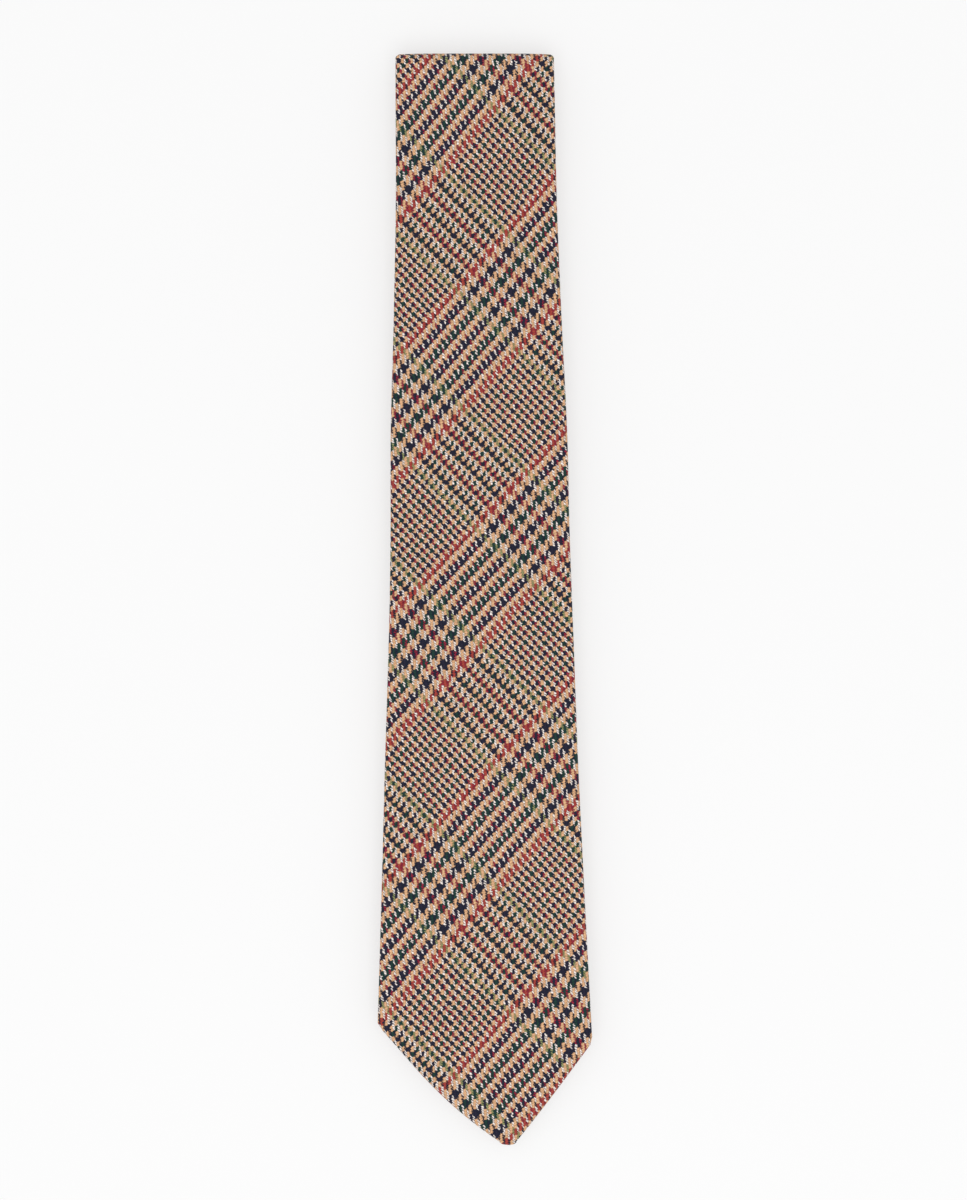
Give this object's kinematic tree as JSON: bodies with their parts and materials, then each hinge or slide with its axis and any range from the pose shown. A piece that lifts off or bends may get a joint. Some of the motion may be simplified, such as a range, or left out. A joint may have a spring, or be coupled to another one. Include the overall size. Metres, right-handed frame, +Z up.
{
  "type": "necktie",
  "caption": "Necktie in a checked twill wool, folded in a zigzag and lying flat, with a wide pointed blade on top.",
  "frame": {"origin": "on the table under the middle of the folded tie's box", "axes": "+Y along the tie from the blade's tip to the top fold, +Z up out of the table, +X to the right seen from above"},
  "size_m": [0.0797, 0.4051, 0.0125],
  "materials": {
    "shell_wool": "brushed wool twill in a multi-colour glen check, matt",
    "interlining_wool": "unbleached brushed wool canvas, matt",
    "tipping_lining": "smooth woven lining, soft sheen",
    "stitch_thread": "twisted sewing thread",
    "label_satin": "blank woven satin tape"
  },
  "bodies": {
    "tail_layer": {"tail_shell_end": "shell_wool", "tail_interlining": "interlining_wool", "tail_tipping": "tipping_lining", "slip_stitch_tail": "stitch_thread", "tail_bar_tack": "stitch_thread", "tail_fold": "shell_wool"},
    "neck_layer": {"neck_shell_lower": "shell_wool", "tail_shell_upper": "shell_wool", "neck_interlining": "interlining_wool", "slip_stitch_neck": "stitch_thread", "neck_fold": "shell_wool"},
    "rear_layer": {"blade_shell_rear": "shell_wool", "neck_shell_upper": "shell_wool", "rear_interlining": "interlining_wool", "slip_stitch_rear": "stitch_thread", "blade_fold": "shell_wool"},
    "front_layer": {"blade_shell_front": "shell_wool", "blade_interlining": "interlining_wool", "blade_tipping": "tipping_lining", "slip_stitch_front": "stitch_thread", "blade_bar_tack": "stitch_thread", "keeper_loop": "shell_wool", "keeper_stitch_left": "stitch_thread", "keeper_stitch_right": "stitch_thread", "care_label": "label_satin", "care_label_stitch": "stitch_thread"}
  },
  "joints": [
    {"name": "unfold_tail", "type": "hinge", "parent": "tail_layer", "child": "neck_layer", "pos_m": [0, 0.195, 0.00265], "axis": [-1, 0, 0], "range_deg": [0, 179.9], "deforming": ["tail_fold"]},
    {"name": "unfold_neck", "type": "hinge", "parent": "neck_layer", "child": "rear_layer", "pos_m": [0, -0.162, 0.00545], "axis": [1, 0, 0], "range_deg": [0, 179.9], "deforming": ["neck_fold"]},
    {"name": "unfold_blade", "type": "hinge", "parent": "rear_layer", "child": "front_layer", "pos_m": [0, 0.1999, 0.00905], "axis": [-1, 0, 0], "range_deg": [0, 179.9], "deforming": ["blade_fold"]}
  ],
  "couplings": [
    {"joint": "unfold_neck", "follows": "unfold_tail", "ratio": 1},
    {"joint": "unfold_blade", "follows": "unfold_tail", "ratio": 1}
  ]
}
